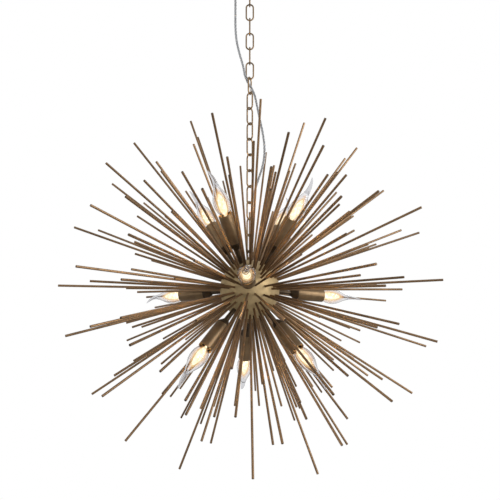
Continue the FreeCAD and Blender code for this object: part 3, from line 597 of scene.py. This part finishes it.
# row, then each of its rods: azimuth, how far it leans off the row, and its sort
rodRows = [
    (4, [(-168.5, 1, "M"), (-120.5, 0, "L"), (-82.5, 1.5, "L"), (-62.5, -3, "M"), (-27.5, 0, "S"),
         (7.5, -4, "L"), (32, 0, "S"), (62.5, 0, "S"), (90.5, 3, "L"), (124.5, -2, "M"),
         (165.5, -3, "L")]),
    (3, [(-180, 0, "S"), (-163.5, 0, "L"), (-150.5, -2, "M"), (-132, -1, "M"), (-98, 0, "S"),
         (-74.5, -2, "L"), (-59, -4, "M"), (-14.5, -5.5, "L"), (2, -2.5, "M"), (18, 0, "S"),
         (32.5, -4, "L"), (89.5, 1, "L"), (108.5, 1.5, "L"), (115.5, -5, "M"), (160, 0, "S")]),
    (2, [(-174.5, 0, "L"), (-158, 0, "S"), (-138.5, -1, "L"), (-124, 2, "L"), (-109, -1.5, "M"),
         (-96, 3, "L"), (-76.5, 0, "S"), (-60, 0, "L"), (-46.5, -1.5, "M"), (-38, 1, "M"),
         (-26, -2, "M"), (-9, 3.5, "M"), (12, 0.5, "L"), (22, -3.5, "L"), (30.5, -2.5, "M"),
         (42, 0, "M"), (54.5, 0, "S"), (71, 0, "S"), (84, 0, "S"), (95, -5, "S"), (102.5, 2, "L"),
         (115.5, 0, "M"), (136.5, 0, "S"), (153, 0, "S"), (169, 0, "M")]),
    (1, [(-171.5, 0, "M"), (-156.5, 0, "S"), (-141.5, 0, "S"), (-126.5, 0, "S"), (-116, 0, "S"),
         (-105.5, 4.5, "L"), (-96.5, 0, "S"), (-85.5, 1, "L"), (-64, -0.5, "S"), (-49, -0.5, "L"),
         (-33.5, -1, "L"), (-25, -1, "M"), (-11.5, -1.5, "L"), (-5, 2, "L"), (5, -2, "L"),
         (5.5, 4.5, "L"), (23, -2.5, "L"), (23.5, 4.5, "L"), (36, 1, "L"), (46, 0, "S"),
         (60.5, 1.5, "L"), (72, 0, "S"), (83.5, 0, "S"), (93.5, 1, "L"), (105.5, 4.5, "L"),
         (122.5, 2.5, "L"), (143.5, 0, "S"), (158.5, 0, "M"), (173.5, 0, "M")]),
    (0, [(-176, 0, "M"), (-163, 0, "M"), (-152, 0, "M"), (-141.5, -2, "L"), (-130, 0.5, "M"),
         (-108, 0, "S"), (-93.5, 0, "S"), (-81.5, -1, "L"), (-75.5, 0, "M"), (-59, 3.5, "S"),
         (-50, 0, "L"), (-43, -3.5, "M"), (-30, -3.5, "S"), (-30, 5.5, "L"), (-16, 0, "M"),
         (11.5, -0.5, "L"), (31, -1.5, "L"), (47, -5, "M"), (51, 0, "S"), (62, -0.5, "M"),
         (73, -0.5, "L"), (84, 0, "S"), (94, -0.5, "M"), (122.5, -1, "L"), (134, 0, "S"),
         (144, 0, "M"), (157, 0, "S"), (170.5, 0, "M")]),
    (-1, [(-176, 0, "M"), (-163, 0, "M"), (-149.5, 0, "M"), (-138, 0, "M"), (-129.5, -5.5, "L"),
         (-128, 2, "L"), (-109.5, 0, "S"), (-97, -1, "S"), (-83, 0, "S"), (-62.5, 0, "L"),
         (-44.5, 1.5, "L"), (-32.5, 3, "L"), (-31, -3.5, "L"), (-16, 0, "M"), (-3, 0, "M"),
         (10.5, 0, "M"), (29, -1, "S"), (45, -1, "M"), (60.5, 1, "M"), (74.5, -1, "L"),
         (94, -1.5, "L"), (106, -2, "S"), (117, 0, "S"), (134, 1.5, "L"), (142.5, 2.5, "L"),
         (148, -1.5, "L"), (160, 0, "S"), (170.5, 0, "L")]),
    (-2, [(-170, 0, "S"), (-148.5, 0.5, "L"), (-139, -1.5, "L"), (-127, 0, "S"), (-115, -2.5, "S"),
         (-92.5, -0.5, "L"), (-71.5, 0, "M"), (-51, 0, "L"), (-33, 1.5, "M"), (-18, -0.5, "L"),
         (-6, 2.5, "M"), (14, -1, "L"), (23.5, 1, "L"), (38, 0, "M"), (49.5, -1.5, "L"),
         (70, -1.5, "M"), (87, 0, "L"), (98, 0, "S"), (109.5, 0, "M"), (122, 0, "S"),
         (135.5, 2.5, "M"), (147, -1, "L"), (158, 0, "S"), (168, 2.5, "M"), (177.5, -0.5, "L")]),
    (-3, [(-153.5, 2, "L"), (-144, 5, "L"), (-130.5, 6.5, "M"), (-114.5, 0, "S"), (-94.5, 0, "S"),
         (-65.5, 0.5, "L"), (-31, 1.5, "M"), (-16.5, 1, "M"), (-6.5, 1, "M"), (11.5, 3, "L"),
         (28.5, -0.5, "M"), (38, 1, "L"), (76.5, -3, "M"), (92, 0, "S"), (110.5, -5.5, "L"),
         (125.5, 0, "S"), (142, 0, "S"), (156.5, 3.5, "L"), (170.5, 1.5, "S")]),
    (-4, [(-161.5, 0, "S"), (-131.5, 0, "S"), (-113, -7.5, "M"), (-96.5, -1.5, "L"),
         (-71.5, 0, "S"), (-41.5, 1.5, "M"), (2, 1.5, "L"), (20, -0.5, "M"), (52.5, 1, "L"),
         (78.5, 0, "S"), (108.5, 0, "S"), (138.5, 0, "S"), (168.5, 0, "S")]),
]

# azimuth and elevation of each lamp, and the way its bent tip points
lamps = [
    (-1.7, 0.4, 20.0), (112.5, -1.6, 200.0), (-118.0, -0.8, 280.0), (-30.0, 55.0, 160.0),
    (57.0, 53.5, 65.0), (137.0, 58.0, 30.0), (-112.0, 58.0, 5.0), (-48.0, -47.0, 235.0),
    (55.0, -48.0, 310.0), (-174.0, -54.0, 80.0)]


def makeRodTree():
    # each line of the carrier becomes one rod with a small bevel at its cut end
    tree, given = newTree("ballRods", [
        ("Diameter", "Float"), ("End Bevel", "Float"), ("Sides", "Int"), ("Tone Seed", "Int"),
        ("Finish", "Material")])
    tone = addNode(tree, "FunctionNodeRandomValue", {"ID": namedValue(tree, "rodNumber", "INT"),
                                                     "Seed": given["Tone Seed"]}, data_type="FLOAT")
    toned = addNode(tree, "GeometryNodeStoreNamedAttribute",
                    {"Geometry": given["Geometry"], "Name": "tone", "Value": tone.outputs[1]},
                    domain="POINT")
    lines = addNode(tree, "GeometryNodeMeshToCurve", {"Mesh": toned.outputs[0]})
    radius = calc(tree, "MULTIPLY", given["Diameter"], 0.5)
    profile = addNode(tree, "GeometryNodeCurvePrimitiveCircle", {"Resolution": given["Sides"],
                                                                 "Radius": radius})
    bevel = calc(tree, "DIVIDE", given["End Bevel"], radius)
    trim = calc(tree, "MULTIPLY", namedValue(tree, "cutEnd"), bevel)
    rod = addNode(tree, "GeometryNodeCurveToMesh", {"Curve": lines.outputs[0],
                                                    "Profile Curve": profile.outputs[0],
                                                    "Scale": calc(tree, "SUBTRACT", 1.0, trim),
                                                    "Fill Caps": True})
    closeTree(tree, rod.outputs[0], given["Finish"])
    return tree


def rodLines(sort):
    # foot, bevel and tip of every rod of one sort
    points, edges, numbers, cutEnds = [], [], [], []
    number = 0
    for row, places in rodRows:
        for azimuth, lean, letter in places:
            number += 1
            if rodLetters[letter] != sort:
                continue
            turned = aim(azimuth, rodSizes["firstRow"] + row * rodSizes["rowSpacing"] + lean)
            first = len(points)
            tip = rodSizes[sort]
            for distance in (rodSizes["foot"], tip - rodSizes["endBevel"], tip):
                points.append(turned @ Vector((0, 0, distance * mm)))
                numbers.append(number)
                cutEnds.append(float(distance == tip))
            edges += [(first, first + 1), (first + 1, first + 2)]
    mesh = bpy.data.meshes.new("rodLines")
    mesh.from_pydata(points, edges, [])
    mesh.attributes.new("rodNumber", "INT", "POINT").data.foreach_set("value", numbers)
    mesh.attributes.new("cutEnd", "FLOAT", "POINT").data.foreach_set("value", cutEnds)
    return mesh


def shadeCutEnds(mesh):
    # painted shade: the flat end faces get a darker copy of the rod finish
    ends = mesh.attributes["cutEnd"].data
    mesh.materials.append(finishes["cut_end"])
    for face in mesh.polygons:
        if all(ends[v].value > 0.5 for v in face.vertices):
            face.material_index = len(mesh.materials) - 1


rodTree = makeRodTree()
for sort in ("long", "medium", "short"):
    rodMesh = runTree(rodTree, rodLines(sort), {
        "Diameter": rodSizes["diameter"] * mm, "End Bevel": rodSizes["endBevel"] * mm,
        "Sides": rodSizes["sides"], "Tone Seed": rodSizes["toneSeed"],
        "Finish": finishes["rod_bronze"]})
    shadeCutEnds(rodMesh)
    newPiece(sort + "Rods", finishMesh(rodMesh), "hub", ["rods_" + sort])
    print(sort, "rods:", len(rodMesh.polygons), "faces")


# lamp sockets

socket = {"armDiameter": 9.0, "armWall": 2.0, "armStart": 55.0, "armEnd": 120.0, "armGap": 0.1,
          "cupStart": 96.0, "cupEnd": 112.0, "cupSmall": 13.0, "cupFloor": 2.8, "flareOut": 1.2,
          "flareUp": 2.2, "rimHeight": 2.0, "rimFit": 0.4, "rimDepth": 1.6, "sleeveEnd": 176.0,
          "sleeveDiameter": 30.0, "sleeveWall": 1.0, "segments": 48, "armSegments": 32,
          "sleeveRound": 0.4, "cupRound": 0.5, "armRound": 0.3}


def circle(work, radius, height, segments):
    # ring round Z in mm; its radius can be a function of the angle
    ring = []
    for i in range(segments):
        angle = math.tau * i / segments
        reach = radius(angle) if callable(radius) else radius
        ring.append(work.verts.new(Vector((reach * math.cos(angle), reach * math.sin(angle),
                                           height)) * mm))
    return ring


def joinRings(work, rings, materialIndex=0):
    # a band of faces from each ring to the next
    for ring, after in zip(rings, rings[1:]):
        for i in range(len(ring)):
            j = (i + 1) % len(ring)
            face = work.faces.new((ring[i], ring[j], after[j], after[i]))
            face.material_index = materialIndex


def capRing(work, ring, centre, materialIndex=0):
    pole = work.verts.new(centre * mm)
    for i in range(len(ring)):
        face = work.faces.new((ring[i], ring[(i + 1) % len(ring)], pole))
        face.material_index = materialIndex


def meshFrom(work, name, slots=()):
    # the worked shape as a mesh, faces outwards, with its finishes in order
    bmesh.ops.recalc_face_normals(work, faces=work.faces)
    mesh = bpy.data.meshes.new(name)
    work.to_mesh(mesh)
    work.free()
    for slot in slots:
        mesh.materials.append(finishes[slot])
    return mesh


def turnedMesh(name, outline, segments):
    # closed outline of (radius, height) in mm, turned about Z
    work = bmesh.new()
    rings = [circle(work, radius, height, segments) for radius, height in outline]
    joinRings(work, rings + rings[:1])
    return meshFrom(work, name)


def softened(outline, size):
    # each corner of a closed outline cut by a small round
    result = []
    count = len(outline)
    for i in range(count):
        here = Vector(outline[i])
        before = Vector(outline[i - 1]) - here
        after = Vector(outline[(i + 1) % count]) - here
        reach = min(size, before.length * 0.4, after.length * 0.4)
        start = here + before.normalized() * reach
        end = here + after.normalized() * reach
        result += [tuple(start), tuple((start + end) / 4 + here / 2), tuple(end)]
    return result


def makeSocketTree():
    # one socket part, set at every lamp
    tree, given = newTree("partAtLamps", [("Part", "Object"), ("Finish", "Material")])
    part = addNode(tree, "GeometryNodeObjectInfo", {"Object": given["Part"], "As Instance": True})
    turn = namedValue(tree, "turn", "FLOAT_VECTOR")
    hung = addNode(tree, "GeometryNodeInstanceOnPoints", {"Points": given["Geometry"],
                                                          "Instance": part.outputs["Geometry"],
                                                          "Rotation": turn})
    closeTree(tree, hung.outputs[0], given["Finish"])
    return tree


lampPoints = bpy.data.meshes.new("lampPoints")
lampPoints.from_pydata([(0, 0, hubZ * mm)] * len(lamps), [], [])
turns = []
for azimuth, elevation, roll in lamps:
    turns += list(aim(azimuth, elevation).to_euler("XYZ"))
lampPoints.attributes.new("turn", "FLOAT_VECTOR", "POINT").data.foreach_set("vector", turns)
socketTree = makeSocketTree()


def setAtLamps(name, mesh, slot, replaced):
    part = bpy.data.objects.new(name + "Part", mesh)
    scene.collection.objects.link(part)
    made = runTree(socketTree, lampPoints.copy(), {"Part": part, "Finish": finishes[slot]})
    bpy.data.objects.remove(part)
    return newPiece(name, finishMesh(made), "hub", replaced)


sleeveRadius = socket["sleeveDiameter"] / 2
sleeveInner = sleeveRadius - socket["sleeveWall"]
sleeveStart, sleeveEnd = socket["cupEnd"], socket["sleeveEnd"]
sleeveOutline = softened([(sleeveInner, sleeveStart), (sleeveRadius, sleeveStart),
                          (sleeveRadius, sleeveEnd), (sleeveInner, sleeveEnd)],
                         socket["sleeveRound"])
setAtLamps("socketSleeves", turnedMesh("sleeve", sleeveOutline, socket["segments"]),
           "antique_brass", ["socket_sleeves"])

armRadius = socket["armDiameter"] / 2
cupBore = armRadius + socket["armGap"]
cupFoot = socket["cupSmall"] / 2
cupRim = sleeveInner - socket["rimFit"]
cupStart, cupEnd = socket["cupStart"], socket["cupEnd"]
cupOutline = softened([
    (cupBore, cupStart), (cupFoot, cupStart),
    (cupFoot + socket["flareOut"], cupStart + socket["flareUp"]),
    (sleeveRadius, cupEnd - socket["rimHeight"]), (sleeveRadius, cupEnd), (cupRim, cupEnd),
    (cupRim, cupEnd - socket["rimDepth"]), (cupFoot, cupStart + socket["cupFloor"]),
    (cupBore, cupStart + socket["cupFloor"])], socket["cupRound"])
setAtLamps("socketCups", turnedMesh("cup", cupOutline, socket["segments"]), "dark_bronze",
           ["socket_cups"])

armInner = armRadius - socket["armWall"]
armOutline = softened([(armInner, socket["armStart"]), (armRadius, socket["armStart"]),
                       (armRadius, socket["armEnd"]), (armInner, socket["armEnd"])],
                      socket["armRound"])
setAtLamps("socketArms", turnedMesh("arm", armOutline, socket["armSegments"]), "dark_bronze",
           ["socket_arms"])
print("sockets set")


# candle bulbs

bulb = {
    "seat": 168.0, "contact": 150.0, "radius": 17.5, "wall": 0.8, "segments": 48,
    "tipLength": 32.0, "tipTurn": 48.0, "tipSteps": 20, "tipEnd": 0.7, "tipTaper": 0.8,
    "tipBelow": 5.0, "crownBelow": 2.0,
    "crest": 6.9, "root": 6.15, "thread": 3.2, "baseSegments": 36, "threadRows": 44,
    "shellRise": 3.2, "filamentLow": 18.0, "filamentHigh": 37.0, "wire": 0.5, "coil": 0.9,
    "wireSides": 6, "posts": 4, "postFoot": 1.6, "postMiddle": 3.4, "postTop": 4.3,
    "zigzags": 4, "coilTop": 4.4, "coilBottom": 3.0, "coilSteps": 6, "glowLow": 3.0,
    "lights": {"filament": (0.18, 32.0, 0.008), "mouth": (0.18, 17.0, 0.003)},
    "lightColor": (1.0, 0.62, 0.28)}
# heights above the contact, and for the stem above the seat, each with its radius
insulatorShape = [(3.2, 6.15), (2.2, 5.4), (1.2, 3.6), (1.0, 2.4)]
buttonShape = [(1.0, 2.4), (0.3, 2.2), (0.0, 1.2)]
stemShape = [(0.2, 5.4), (1.0, 4.2), (2.5, 3.0), (5.0, 2.4), (10.0, 2.2), (12.0, 2.6), (13.0, 3.4),
             (14.0, 3.2), (14.6, 1.8)]
# how far the hollow's rounded top rises, with its share of the radius
crownShape = [(1.5, 0.8), (2.6, 0.5), (3.2, 0.2)]
# share of the full radius at each height above the seat
flameShape = [(0, 0.36), (4, 0.40), (8, 0.53), (17, 0.85), (27, 0.985), (35, 1.0), (44, 0.93),
              (52, 0.78), (60, 0.58), (68, 0.41), (76, 0.29)]


def flameShare(height):
    # smooth curve through the shape's points
    last = len(flameShape) - 1
    i = max(k for k in range(last) if flameShape[k][0] <= max(height, 0.0))
    (h0, a), (h1, b) = flameShape[i], flameShape[i + 1]
    before = flameShape[max(i - 1, 0)]
    after = flameShape[min(i + 2, last)]
    slopeIn = (b - before[1]) / (h1 - before[0])
    slopeOut = (after[1] - a) / (after[0] - h0)
    t = (height - h0) / (h1 - h0)
    width = h1 - h0
    return ((2 * t ** 3 - 3 * t ** 2 + 1) * a + (t ** 3 - 2 * t ** 2 + t) * width * slopeIn
            + (3 * t ** 2 - 2 * t ** 3) * b + (t ** 3 - t ** 2) * width * slopeOut)


def skin(work, rings, segments, materialIndex=0, closeStart=False, closeEnd=False):
    # rings of (centre, heading, radius); headings lie in the XZ plane
    made = []
    for centre, heading, radius in rings:
        across = Vector((heading.z, 0, -heading.x))
        ring = []
        for i in range(segments):
            angle = math.tau * i / segments
            ring.append(work.verts.new((centre + across * radius * math.cos(angle)
                                        + Vector((0, radius * math.sin(angle), 0))) * mm))
        made.append(ring)
    joinRings(work, made, materialIndex)
    if closeStart:
        capRing(work, made[0], rings[0][0], materialIndex)
    if closeEnd:
        capRing(work, made[-1], rings[-1][0], materialIndex)
    return made


def uprightRings(shape, foot):
    # rings standing on the bulb's axis from (height, radius) pairs
    return [(Vector((0, 0, foot + height)), Vector((0, 0, 1)), radius) for height, radius in shape]


def straightRings(low, high, count, inset=0.0):
    shape = []
    for i in range(count + 1):
        height = low + (high - low) * i / count
        shape.append((height, flameShare(height) * bulb["radius"] - inset))
    return uprightRings(shape, bulb["seat"])


def glassMesh():
    work = bmesh.new()
    topHeight = flameShape[-1][0]
    outer = straightRings(0, topHeight, 38)
    centre = outer[-1][0].copy()
    topRadius = outer[-1][2]
    steps = bulb["tipSteps"]
    for step in range(1, steps + 1):
        along = step / steps
        lean = math.radians(bulb["tipTurn"] * (step - 0.5) / steps)
        centre = centre + Vector((math.sin(lean), 0, math.cos(lean))) * (bulb["tipLength"] / steps)
        lean = math.radians(bulb["tipTurn"] * along)
        radius = topRadius * (1 - along) ** bulb["tipTaper"] + bulb["tipEnd"] * along
        outer.append((centre.copy(), Vector((math.sin(lean), 0, math.cos(lean))), radius))
    inner = straightRings(0, topHeight - bulb["crownBelow"], 36, inset=bulb["wall"])
    place, up, radius = inner[-1]
    inner += [(place + up * rise, up, radius * share) for rise, share in crownShape]
    outerMade = skin(work, outer, bulb["segments"], closeEnd=True)
    tipLow = (bulb["seat"] + topHeight - bulb["tipBelow"]) * mm
    for face in work.faces:
        if face.calc_center_median().z > tipLow:
            face.material_index = 1
    innerMade = skin(work, inner, bulb["segments"], closeEnd=True)
    joinRings(work, [outerMade[0], innerMade[0]])
    return finishMesh(meshFrom(work, "glass", ["clear_glass", "glass_tip"]), 60)


def baseMesh():
    # screw shell with one real thread, black insulator and centre contact
    work = bmesh.new()
    segments, rows = bulb["baseSegments"], bulb["threadRows"]
    low, high = bulb["contact"] + bulb["shellRise"], bulb["seat"]
    depth = bulb["crest"] - bulb["root"]
    rings = []
    for row in range(rows + 1):
        height = low + (high - low) * row / rows
        edge = max(0.0, min(1.0, (height - low) / 1.2, (high - height) / 1.8))
        turns = math.tau * height / bulb["thread"]
        rings.append(circle(
            work, lambda angle: bulb["root"] + depth * (0.5 + 0.5 * math.cos(turns - angle)) * edge,
            height, segments))
    joinRings(work, rings)
    capRing(work, rings[-1], Vector((0, 0, high)))
    cone = [circle(work, radius, bulb["contact"] + rise, segments)
            for rise, radius in insulatorShape]
    joinRings(work, cone, 1)
    skin(work, uprightRings(buttonShape, bulb["contact"]), 24, 2, closeEnd=True)
    bmesh.ops.remove_doubles(work, verts=work.verts, dist=0.01 * mm)
    return finishMesh(meshFrom(work, "base", ["nickel", "black_plastic", "contact_brass"]), 50)


def wire(work, points, radius, sides, materialIndex):
    # round wire through points, in mm
    side = Vector((1, 0, 0))
    rings = []
    for i, point in enumerate(points):
        heading = (points[min(i + 1, len(points) - 1)] - points[max(i - 1, 0)]).normalized()
        side = side - heading * side.dot(heading)
        if side.length < 0.1:
            side = Vector((0, 1, 0)) - heading * heading.y
        side.normalize()
        other = heading.cross(side)
        rings.append([work.verts.new((point + side * radius * math.cos(math.tau * k / sides)
                                      + other * radius * math.sin(math.tau * k / sides)) * mm)
                      for k in range(sides)])
    joinRings(work, rings, materialIndex)
    work.faces.new(rings[0]).material_index = materialIndex
    work.faces.new(list(reversed(rings[-1]))).material_index = materialIndex


def filamentMesh():
    # glass stem, support wires and a hot coil strung up and down between them
    work = bmesh.new()
    seat, low, high = bulb["seat"], bulb["filamentLow"], bulb["filamentHigh"]
    skin(work, uprightRings(stemShape, seat), 20, 1, closeStart=True, closeEnd=True)
    for post in range(bulb["posts"]):
        angle = math.tau * (post + 0.5) / bulb["posts"]
        path = [Vector((reach * math.cos(angle), reach * math.sin(angle), seat + height))
                for reach, height in ((bulb["postFoot"], 13), (bulb["postMiddle"], low + 4),
                                      (bulb["postTop"], high - 2), (bulb["postTop"], high + 1))]
        wire(work, path, bulb["wire"] / 2, bulb["wireSides"], 2)
    bends = []
    count = 2 * bulb["zigzags"] + 1
    for i in range(count):
        angle = math.tau * (i + 0.5) / count
        reach, height = (bulb["coilBottom"], low) if i % 2 else (bulb["coilTop"], high)
        bends.append(Vector((reach * math.cos(angle), reach * math.sin(angle), seat + height)))
    path = [start.lerp(end, k / bulb["coilSteps"]) for start, end in zip(bends, bends[1:])
            for k in range(bulb["coilSteps"])]
    wire(work, path + bends[-1:], bulb["coil"] / 2, bulb["wireSides"], 0)
    return finishMesh(meshFrom(work, "filament", ["filament", "clear_glass", "nickel"]), 50)


def glowMesh():
    # three nested flames of light
    work = bmesh.new()
    low = bulb["glowLow"]
    for index, look in enumerate(glowLook.values()):
        rings = []
        for place, up, radius in straightRings(low, look["top"], 24):
            t = (place.z - bulb["seat"] - low) / (look["top"] - low)
            fall = math.sqrt(max(0.0, 1 - t ** 3)) * min(1.0, 0.5 + 2.0 * t)
            rings.append((place, up, max(0.15, radius * look["share"] * fall)))
        skin(work, rings, 28, index, closeStart=True, closeEnd=True)
    return finishMesh(meshFrom(work, "glow", ["glow_" + name for name in glowLook]), 70)


def setBulb(name, mesh, number, turned, replaced=()):
    own = mesh.copy()
    own.transform(turned)
    own.update()
    return newPiece("%s%02d" % (name, number), own, "bulb_%02d" % number, replaced)


glass, base, filament, glow = glassMesh(), baseMesh(), filamentMesh(), glowMesh()
for number, (azimuth, elevation, roll) in enumerate(lamps, 1):
    turned = aim(azimuth, elevation, roll)
    tag = "_%02d" % number
    clear = setBulb("bulbGlass", glass, number, turned, ["bulb_glass" + tag])
    clear.visible_shadow = False
    setBulb("bulbBase", base, number, turned, ["bulb_base" + tag])
    setBulb("bulbFilament", filament, number, turned, ["bulb_filament" + tag])
    haze = setBulb("bulbGlow", glow, number, turned)
    haze.visible_shadow = False
    for place, (power, height, size) in bulb["lights"].items():
        lampData = bpy.data.lights.new("%sLight%02d" % (place, number), "POINT")
        lampData.energy = power
        lampData.color = bulb["lightColor"]
        lampData.shadow_soft_size = size
        lamp = bpy.data.objects.new(lampData.name, lampData)
        lamp.location = turned @ Vector((0, 0, (bulb["seat"] + height) * mm))
        lamp.visible_camera = False
        lamp.visible_transmission = False
        scene.collection.objects.link(lamp)
        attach(lamp, "bulb_%02d" % number)
print("bulbs lit")


# what stays as the source made it, with its finish

kept = [name for name, node in nodes.items() if not node.hide_render]
for name in kept:
    nodes[name].data.materials.clear()
    nodes[name].data.materials.append(finishes[slotOf[name]])
print("kept nodes:", len(kept))


# studio

studio = {
    "floorHeight": -2.6, "floorSize": 9.0, "floorColor": paint(236, 236, 234), "floorGlow": 0.72,
    "fill": 0.34, "glossy": 0.85,
    # each light's place, what it points at, its size and its power
    "lights": {"key": ((2.1, -1.5, -0.35), (0, 0, -0.75), 1.6, 70.0),
               "side": ((-2.2, -1.2, -0.4), (0, 0, -0.8), 1.4, 10.0),
               "top": ((0.2, 0.3, 1.2), (0, 0, -0.8), 1.2, 4.0),
               "back": ((0.8, 2.2, 0.2), (0, 0, -0.8), 1.4, 12.0)}}

floorMesh = bpy.data.meshes.new("floor")
half = studio["floorSize"] / 2
corners = [(-half, -half), (half, -half), (half, half), (-half, half)]
floorMesh.from_pydata([(x, y, studio["floorHeight"]) for x, y in corners], [], [(0, 1, 2, 3)])
floor = bpy.data.objects.new("floor", floorMesh)
scene.collection.objects.link(floor)
floorMaterial, tree, plain = newMaterial("floor")
plain.inputs["Base Color"].default_value = studio["floorColor"]
plain.inputs["Roughness"].default_value = 0.9
seen = addNode(tree, "ShaderNodeLightPath")
white = addNode(tree, "ShaderNodeEmission", {"Color": (1, 1, 1, 1), "Strength": 1.0})
share = calc(tree, "MULTIPLY", seen.outputs["Is Camera Ray"], studio["floorGlow"])
blend = addNode(tree, "ShaderNodeMixShader", {0: share, 1: plain.outputs[0], 2: white.outputs[0]})
tree.links.new(blend.outputs[0], tree.nodes["Material Output"].inputs[0])
floorMesh.materials.append(floorMaterial)

world = bpy.data.worlds.new("studio")
scene.world = world
world.use_nodes = True
tree = world.node_tree
tree.nodes["Background"].inputs["Color"].default_value = (1, 1, 1, 1)
seen = addNode(tree, "ShaderNodeLightPath").outputs
direct = calc(tree, "MAXIMUM", seen["Is Camera Ray"], seen["Is Transmission Ray"])
glossy = calc(tree, "MULTIPLY", seen["Is Glossy Ray"], studio["glossy"])
strength = calc(tree, "MAXIMUM", calc(tree, "MAXIMUM", direct, glossy), studio["fill"])
tree.links.new(strength, tree.nodes["Background"].inputs["Strength"])

for name, (place, target, size, power) in studio["lights"].items():
    lightData = bpy.data.lights.new(name, "AREA")
    lightData.size = size
    lightData.energy = power
    light = bpy.data.objects.new(name, lightData)
    light.location = place
    light.rotation_euler = (Vector(target) - Vector(place)).to_track_quat("-Z", "Y").to_euler()
    light.visible_transmission = False
    scene.collection.objects.link(light)

scene.view_settings.view_transform = "Standard"
